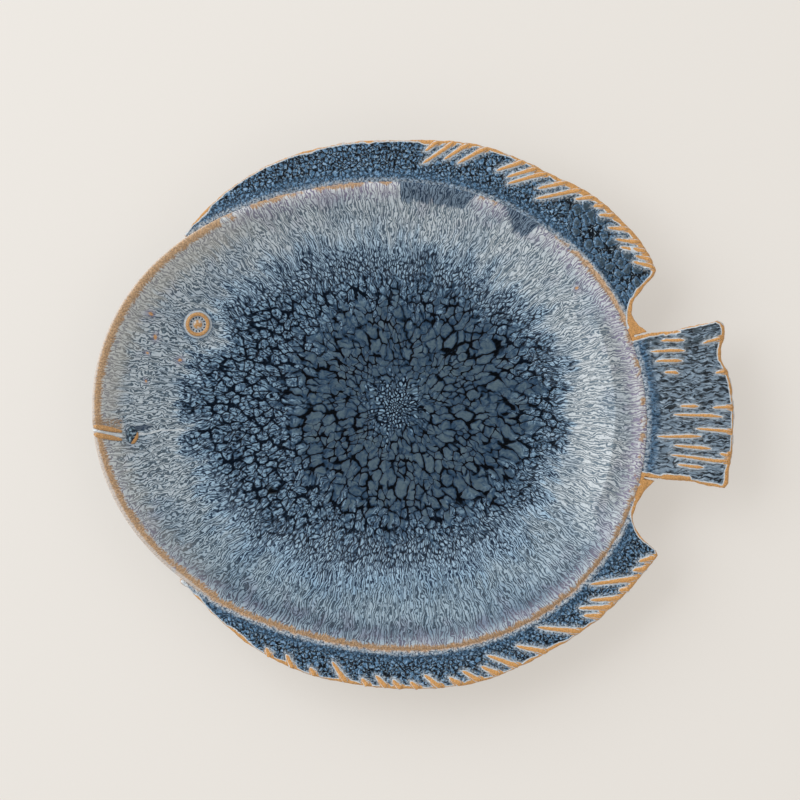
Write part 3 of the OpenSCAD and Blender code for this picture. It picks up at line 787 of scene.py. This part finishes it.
class PlanLine:
    """A line in plan that distances are measured from, in millimetres."""

    def __init__(self, segments, step=0.5):
        points = []
        for start, end in segments:
            start, end = Vector(start[:2]) / MM, Vector(end[:2]) / MM
            count = max(1, math.ceil((end - start).length / step))
            points += [start.lerp(end, i / count) for i in range(count + 1)]
        self.tree = plan_tree(points)

    def away(self, point):
        return self.tree.find((point[0] / MM, point[1] / MM, 0))[2]

    def distances(self, points):
        return np.array([self.away(point) for point in points])


def dish_outline():
    """The dish's outline in plan."""
    points = [vertex.co.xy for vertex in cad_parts["dish"].data.vertices]
    hull = [points[i] for i in convex_hull_2d(points)]
    return PlanLine(zip(hull, hull[1:] + hull[:1]))


def free_edge(node, outline):
    """The upper edge of a fin, away from the dish."""
    shape = merged(node)
    segments = []
    for edge in shape.edges:
        if len(edge.link_faces) != 2:
            continue
        lean = sorted(face.normal.z for face in edge.link_faces)
        middle = (edge.verts[0].co + edge.verts[1].co) / 2
        if lean[0] < 0.75 < lean[1] and outline.away(middle) > 1.5:
            segments.append([vertex.co.copy() for vertex in edge.verts])
    shape.free()
    return PlanLine(segments)


def islands(mesh_shape):
    """The separate solids of a shape, each as an array of its points, sorted so that every run gives the same."""
    left = set(mesh_shape.verts)
    while left:
        found, edge = set(), [left.pop()]
        while edge:
            vertex = edge.pop()
            found.add(vertex)
            fresh = {e.other_vert(vertex) for e in vertex.link_edges} - found
            left -= fresh
            edge += fresh
        yield np.array(sorted(vertex.co[:] for vertex in found))


def ray_lines(node, edge_line, outline):
    """The middle lines of a fin's rays in plan, from the inner tip outwards, and whether each runs into the edge."""
    shape = merged(node)
    lines = []
    for points in islands(shape):
        plan = points[:, :2]
        middle = plan.mean(0)
        axis = np.linalg.svd(plan - middle, full_matrices=False)[2][0]
        order = np.argsort((plan - middle) @ axis)
        line = [plan[group].mean(0) for group in np.array_split(order, 4)]
        if outline.away(line[0]) > outline.away(line[-1]):
            line.reverse()
        outward = line[-1] - line[-2]
        outward /= np.linalg.norm(outward)
        left = edge_line.away(line[-1]) * MM
        runs_out = left < 0.006 and edge_line.away(line[-1] + outward * left) * MM < 0.5 * left + 0.0005
        line.append(line[-1] + outward * (max(0, left - 0.0014) if runs_out else 0.001))
        lines.append((line, runs_out))
    shape.free()
    return sorted(lines, key=lambda ray: math.atan2(ray[0][0][1], ray[0][0][0]))


def beside_rays(points, lines, width, taper):
    """How far each point is outside the nearest ray in plan, in millimetres."""
    shares = np.linspace(0, 1, 40)
    samples = []
    for line, runs_out in lines:
        run = np.concatenate([[0], np.cumsum(np.linalg.norm(np.diff(line, axis=0), axis=1))])
        across = np.sqrt(smooth_step(shares, -0.03, 0.16)) * (taper + (1 - taper) * shares)
        if not runs_out:
            across = across * np.sqrt(smooth_step(1 - shares, -0.03, 0.3))
        plan = [np.interp(shares, run / run[-1], axis) for axis in np.transpose(line)]
        samples += zip(*plan, across * width / 2)
    tree = plan_tree(samples)
    found = [tree.find((point[0], point[1], 0)) for point in points]
    return np.array([(away - samples[i][2]) / MM for _, i, away in found])


def dressed(piece, material, slot, *nodes):
    """Gives a finished piece its finish and its place in the frame."""
    piece.data.materials.clear()
    piece.data.materials.append(material)
    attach(piece, BODY)
    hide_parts(*nodes)
    return piece


def keep_rim(mesh, *keys):
    """Keeps the rim's values at each point's place round the dish."""
    points = points_of(mesh)
    turn = np.degrees(np.arctan2(points[:, 1] / MM - DISH_MIDDLE.y, points[:, 0] / MM - DISH_MIDDLE.x)) % 360
    degrees, *columns = zip(*RIM)
    for key, column in zip(RIM_KEYS, columns):
        if key in keys:
            store(mesh, key, np.interp(turn, degrees, column))


class PLATTER_OT_dish(bpy.types.Operator):
    """Makes the dish and the glass pooled in its well"""

    bl_idname = "platter.dish"
    bl_label = "Dish and Pooled Glass"

    def execute(self, context):
        form, look = context.scene.platter_form, context.scene.platter_glaze
        outline = dish_outline()
        for name, node, slot in (
            ("glazed_dish", "dish", "dish_glaze"),
            ("pooled_glass", "glaze_pool", "pool_glass"),
        ):
            piece = turned_piece(name, node, form.dish_levels)
            if node == "glaze_pool":
                sink(piece.data, POOL_SINK)
            keep_rim(piece.data, *RIM_KEYS)
            store(piece.data, "inset", outline.distances(points_of(piece.data)))
            store(piece.data, "upper", smooth_step(normals_of(piece.data)[:, 2], -0.35, 0.05))
            dressed(piece, reactive_glaze(slot, look), slot, node)
        return {"FINISHED"}


class PLATTER_OT_foot(bpy.types.Operator):
    """Makes the bare foot ring"""

    bl_idname = "platter.foot"
    bl_label = "Foot Ring"

    def execute(self, context):
        look = context.scene.platter_glaze
        piece = turned_piece("bare_foot", "foot_ring", 1, crease=math.radians(35))
        dressed(piece, bare_clay("bare_clay", look), "bare_clay", "foot_ring")
        return {"FINISHED"}


# Each fin with the stretch, folds, contrast and colour of its glaze, and the width of its rays
FINS = (
    ("dorsal_fin", 1, 0, 1, "fin", 0.8),
    ("ventral_fin", 1, 0, 1, "fin", 0.95),
    ("tail_fin", 0.5, 0.85, 0.75, "tail", 0.66),
)


class PLATTER_OT_fins(bpy.types.Operator):
    """Makes the three fin slabs and their rays"""

    bl_idname = "platter.fins"
    bl_label = "Fins and Rays"

    def execute(self, context):
        form, look = context.scene.platter_form, context.scene.platter_glaze
        outline = dish_outline()
        tan = ridge_glaze("ray_glaze", look, look.tan)
        for node, stretch, folds, contrast, tone, broad in FINS:
            slab = moulded_piece(f"glazed_{node}", node, form.fin_grain, 5)
            edge_line = free_edge(node, outline)
            points = points_of(slab.data)
            edge, root = edge_line.distances(points), outline.distances(points)
            weather(slab.data, edge, root, form.unevenness, stretch)
            lines = ray_lines(f"{node}_rays", edge_line, outline)
            width = form.ray_width * broad
            store(slab.data, "edge", edge)
            store(slab.data, "ray", beside_rays(points, lines, width, form.ray_taper))
            store(slab.data, "root", root)
            store(slab.data, "side", 1 - smooth_step(abs(normals_of(slab.data)[:, 2]), 0.2, 0.5))
            keep_rim(slab.data, "bare", "over", "spill")
            rays = make_rays(f"{node}_ridges", lines, slab, tan, width, form)
            finish = fin_glaze(f"{node}_glaze", look, stretch, folds, contrast, getattr(look, tone))
            dressed(slab, finish, "fin_glaze", node)
            dressed(rays, tan, "ridge_glaze", f"{node}_rays")
        return {"FINISHED"}


def sink(mesh, depth):
    """Lowers the border of the pooled glass into the dish, so that no gap shows under it."""
    points = points_of(mesh)
    points[:, 2] -= depth * (1 - smooth_step(normals_of(mesh)[:, 2], 0.2, 0.9))
    mesh.vertices.foreach_set("co", points.ravel())
    mesh.update()


def weather(mesh, edge, root, depth, stretch):
    """Draws a slab's edge in and out a little, as fingers leave it, works its root up against the dish and lays swells
    of glaze on it, with large heaps at the rear of the back fin."""
    points, normals = points_of(mesh), normals_of(mesh)
    near = 1 - smooth_step(edge, 1.5, 5)
    waves = [noise.noise(Vector(point) / 0.007) + 0.6 * noise.noise(Vector(point) / 0.0025) for point in points]
    push = ROOT_PUSH * (1 - smooth_step(root, 0.8, 1.8)) - depth * near * np.clip(0.5 + np.array(waves), 0, 1.4)
    points[:, :2] += normals[:, :2] * push[:, None]
    swells, boulders, patches = [], [], []
    for x, y, _ in points / MM:
        flat = Vector((x, y, 0))
        swells.append(noise.noise(Vector((x * stretch, y, 0)) / 2.4))
        bend = Vector((noise.noise(flat / 5), noise.noise(flat / 5 + Vector((37, 11, 0))), 0))
        bend.z = 0.6 * noise.noise(flat / 1.6)
        one, other = noise.voronoi((flat + 1.6 * bend) / 5.4)[0][:2]
        boulders.append(other - one - 0.9 * max(0, one - 0.6))
        patches.append(x + 0.4 * y + 16 * noise.noise(flat / 9))
    coarse = smooth_step(np.array(patches), 112, 122) * smooth_step(points[:, 1] / MM, 20, 40)
    heaps = coarse * (smooth_step(np.array(boulders), 0, 0.4) - 0.3) * smooth_step(edge, 2, 5)
    rise = FILLET * (1 - smooth_step(root, 0.5, 5))
    rise += smooth_step(root, 2, 6) * (HEAP * heaps + SWELL * np.array(swells))
    points[:, 2] += rise * smooth_step(normals[:, 2], 0.2, 0.8)
    store(mesh, "coarse", coarse)
    store(mesh, "boulder", boulders)
    mesh.vertices.foreach_set("co", points.ravel())
    mesh.update()


def new_tree(name, **kinds):
    """Geometry Nodes that take a geometry and other inputs, with their recipe and the fields of the inputs."""
    tree = bpy.data.node_groups.new(name, "GeometryNodeTree")
    for key, kind in {"Geometry": "Geometry", **kinds}.items():
        tree.interface.new_socket(key, in_out="INPUT", socket_type=f"NodeSocket{kind}")
    tree.interface.new_socket("Geometry", in_out="OUTPUT", socket_type="NodeSocketGeometry")
    r = Recipe(tree)
    given = r.node("NodeGroupInput").socket.node.outputs
    return tree, r, [Field(r, given[key]) for key in ("Geometry", *kinds)]


def close_tree(r, made, finish):
    """Ends a tree with real geometry that has its finish."""
    made = r.shape("RealizeInstances", [made])
    made = r.shape("SetMaterial", {"Geometry": made, "Material": finish})
    r.node("NodeGroupOutput", sockets=[made])


def ray_tree():
    """Geometry Nodes that raise a tapered ridge along each line."""
    kinds = {"Width": "Float", "Height": "Float", "Taper": "Float", "Finish": "Material"}
    tree, r, (lines, width, height, taper, finish) = new_tree("Fin Rays", **kinds)

    circle = r.shape("CurvePrimitiveCircle", {"Resolution": 14, "Radius": 1})
    across, up, _ = r.parts(r.shape("InputPosition"))
    spread = across * (abs(across) ** 0.5) * width * 0.5
    lift = r.blend(r.rise(up, -0.01, 0.01), up * -RAY_SINK, up * height * -1)
    section = r.add("CombineXYZ", sockets=[spread, lift])
    profile = r.shape("StoreNamedAttribute", {"Geometry": circle, "Name": "crest", "Value": up})
    profile = r.shape("SetPosition", {"Geometry": profile, "Position": section})

    curve = r.shape("MeshToCurve", [lines])
    curve = r.shape("ResampleCurve", {"Curve": curve, "Count": 22})
    curve = r.shape("SetCurveNormal", [curve], {"mode": "Z_UP"})
    along = r.shape("SplineParameter", out="Factor")
    runs_out = r.shape("InputNamedAttribute", {"Name": "runs_out"})
    closed = r.rise(1 - along, -0.03, 0.3).most(runs_out * (0.3 + 0.7 * r.rise(1 - along, 0, 0.12))) ** 0.5
    tip = r.rise(along, -0.03, 0.16) ** 0.5 * closed * (taper + (1 - taper) * along)
    sweep = {"Curve": curve, "Profile Curve": profile, "Scale": tip, "Fill Caps": True}
    ridges = r.shape("FlipFaces", [r.shape("CurveToMesh", sweep)])
    close_tree(r, r.shape("SetShadeSmooth", [ridges]), finish)
    return tree


def add_nodes(piece, tree, **values):
    """Puts a node tree on a piece with its inputs set, and makes the result its mesh."""
    made = piece.modifiers.new(tree.name, "NODES")
    made.node_group = tree
    for item in tree.interface.items_tree:
        if item.in_out == "INPUT" and item.name in values:
            made[item.identifier] = values[item.name]
    return applied(piece)


def ground_of(mesh):
    """A function that drops a point of the plan onto the mesh from above."""
    tree = BVHTree.FromPolygons([v.co for v in mesh.vertices], [p.vertices for p in mesh.polygons])
    return lambda x, y: tree.ray_cast(Vector((x, y, 0.1)), Vector((0, 0, -1)))[0]


def make_rays(name, lines, slab, finish, width, form):
    """Lays the rays' lines on their slab and raises them."""
    ground, points, edges, ends = ground_of(slab.data), [], [], []
    for line, runs_out in lines:
        for i, (x, y) in enumerate(line):
            hit = ground(x, y)
            height = hit.z if hit else points[-1][2]
            if i:
                edges.append((len(points) - 1, len(points)))
            points.append((x, y, height))
            ends.append(runs_out)
    mesh = bpy.data.meshes.new(name)
    mesh.from_pydata(points, edges, [])
    store(mesh, "runs_out", ends)
    piece = new_object(name, mesh)
    tree = bpy.data.node_groups.get("Fin Rays") or ray_tree()
    return add_nodes(piece, tree, Width=width, Height=form.ray_height, Taper=form.ray_taper, Finish=finish)


class PLATTER_OT_eye(bpy.types.Operator):
    """Makes the eye: its ring, its pupil and the dots between them"""

    bl_idname = "platter.eye"
    bl_label = "Eye"

    def execute(self, context):
        form, look = context.scene.platter_form, context.scene.platter_glaze
        finish = ridge_glaze("eye_glaze", look, between(look.tan, look.rim_tan, 0.5))
        for name, node, worn in (("eye_bead", "eye_ring", 1), ("eye_button", "eye_pupil", 0.58)):
            piece = moulded_piece(name, node, form.bead_grain, 3)
            normals = normals_of(piece.data)
            store(piece.data, "crest", smooth_step(normals[:, 2], 0.2, 0.75) * worn)
            dressed(piece, finish, "ridge_glaze", node)
        beads = dot_glaze("dot_glaze", look)
        ground = ground_of(bpy.data.objects["glazed_dish"].data)
        middle, circle = EYE_MIDDLE * MM, form.dot_circle
        turns = [math.tau * i / form.dot_count for i in range(form.dot_count)]
        points = [ground(middle.x + circle * math.cos(turn), middle.y + circle * math.sin(turn)) for turn in turns]
        mesh = bpy.data.meshes.new("eye_dots")
        mesh.from_pydata(points, [], [])
        dots = add_nodes(new_object("eye_dots", mesh), dot_tree(), Size=form.dot_size, Finish=beads)
        dots.data.materials.clear()
        dots.data.materials.append(beads)
        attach(dots, BODY)
        return {"FINISHED"}


def dot_tree():
    """Geometry Nodes that set a flat bead of glass on each point."""
    tree, r, (points, size, finish) = new_tree("Eye Dots", Size="Float", Finish="Material")
    bead = r.shape("MeshUVSphere", {"Segments": 12, "Rings": 8, "Radius": size * 0.5})
    beads = r.shape("InstanceOnPoints", {"Points": points, "Instance": bead, "Scale": (1, 1, 0.6)})
    close_tree(r, beads, finish)
    return tree


class PLATTER_OT_mouth(bpy.types.Operator):
    """Makes the lips and the pellet in the corner of the mouth"""

    bl_idname = "platter.mouth"
    bl_label = "Mouth"

    def execute(self, context):
        form, look = context.scene.platter_form, context.scene.platter_glaze
        finish = ridge_glaze("lip_glaze", look, between(look.tan, look.rim_tan, 0.5))
        for node in ("upper_lip", "lower_lip"):
            piece = moulded_piece(f"glazed_{node}", node, form.bead_grain, 4)
            store(piece.data, "crest", smooth_step(normals_of(piece.data)[:, 2], 0.05, 0.6))
            dressed(piece, finish, "ridge_glaze", node)
        pellet = moulded_piece("glazed_pellet", "mouth_pellet", form.bead_grain, 3)
        dressed(pellet, pellet_glaze("pellet_glaze", look), "pellet_glaze", "mouth_pellet")
        return {"FINISHED"}


def floor_paper(name, stage):
    """Pale paper that shines a little by itself to the camera, so that the shadow on it stays light."""
    r = new_finish(name)
    path = r.add("LightPath").socket.node.outputs
    camera, glossy, through = (Field(r, path[f"Is {kind} Ray"]) for kind in ("Camera", "Glossy", "Transmission"))
    bump = r.add("Bump", sockets={"Height": r.noise(r.place(), 0.6), "Distance": 0.00002})
    paper = r.add("BsdfDiffuse", sockets={"Color": opaque(stage.floor), "Normal": bump})
    glow = r.add("Emission", sockets={"Color": opaque(stage.glow)})
    mixed = r.add("MixShader", sockets=[(camera + glossy + through) * stage.floor_glow, paper, glow])
    r.add("OutputMaterial", sockets={"Surface": mixed})
    return r.owner


class PLATTER_OT_stage(bpy.types.Operator):
    """Makes the floor, the light and the camera"""

    bl_idname = "platter.stage"
    bl_label = "Stage"

    def execute(self, context):
        scene, stage = context.scene, context.scene.platter_stage
        mesh = bpy.data.meshes.new("floor")
        corners = [(x * FLOOR_HALF, y * FLOOR_HALF, 0) for x, y in ((-1, -1), (1, -1), (1, 1), (-1, 1))]
        mesh.from_pydata(corners, [], [(0, 1, 2, 3)])
        floor = new_object("floor", mesh)
        mesh.materials.append(floor_paper("floor_paper", stage))
        floor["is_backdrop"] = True

        world = bpy.data.worlds.new("room")
        world.use_nodes = True
        scene.world = world
        r = Recipe(world.node_tree)
        across, along, up = r.parts(r.add("TexCoord", out="Generated"))
        window = 1 + stage.window * (along - across)
        level = r.blend(r.rise(up, 0.8, 0.95), window * stage.horizon, stage.zenith)
        light = r.add("Background", sockets={"Color": (1, 0.985, 0.965, 1), "Strength": level})
        r.add("OutputWorld", sockets={"Surface": light})

        lamp = bpy.data.lights.new("soft_lamp", "AREA")
        lamp.shape = "SQUARE"
        lamp.size = stage.lamp_size
        lamp.energy = stage.lamp_power
        lamp.color = (0.95, 0.98, 1)
        shade = new_object("soft_lamp", lamp)
        shade.location = LAMP_PLACE
        shade.rotation_euler = (-shade.location).to_track_quat("-Z", "Y").to_euler()

        lens = bpy.data.cameras.new("camera")
        lens.lens = stage.lens
        camera = new_object("camera", lens)
        camera.location = (*CAMERA_PLAN, RIM_TOP + stage.camera_height)
        scene.camera = camera
        scene.view_settings.view_transform = "Standard"
        return {"FINISHED"}


class PLATTER_PT_looks(bpy.types.Panel):
    """Lists the pieces and what may be changed about them"""

    bl_idname = "PLATTER_PT_looks"
    bl_label = "Fish Platter"
    bl_space_type = "VIEW_3D"
    bl_region_type = "UI"
    bl_category = "Platter"

    def draw(self, context):
        for operator in OPERATORS:
            self.layout.operator(operator.bl_idname)
        for name, group in GROUPS.items():
            box = self.layout.box()
            for key in group.__annotations__:
                box.prop(getattr(context.scene, name), key)


GROUPS = {"platter_form": PlatterForm, "platter_glaze": PlatterGlaze, "platter_stage": PlatterStage}
OPERATORS = (PLATTER_OT_dish, PLATTER_OT_foot, PLATTER_OT_fins, PLATTER_OT_eye, PLATTER_OT_mouth, PLATTER_OT_stage)
CLASSES = (*GROUPS.values(), *OPERATORS, PLATTER_PT_looks)


def register():
    for cls in CLASSES:
        bpy.utils.register_class(cls)
    for name, group in GROUPS.items():
        setattr(bpy.types.Scene, name, PointerProperty(type=group))


def unregister():
    for name in GROUPS:
        delattr(bpy.types.Scene, name)
    for cls in reversed(CLASSES):
        bpy.utils.unregister_class(cls)


def main():
    register()
    bpy.ops.platter.dish()
    bpy.ops.platter.foot()
    bpy.ops.platter.fins()
    bpy.ops.platter.eye()
    bpy.ops.platter.mouth()
    bpy.ops.platter.stage()
    boxes = {"cad": CAD_BOX, "visual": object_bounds()}
    {name: [list(corner) for corner in box] for name, box in boxes.items()}


if __name__ == "__main__":
    main()
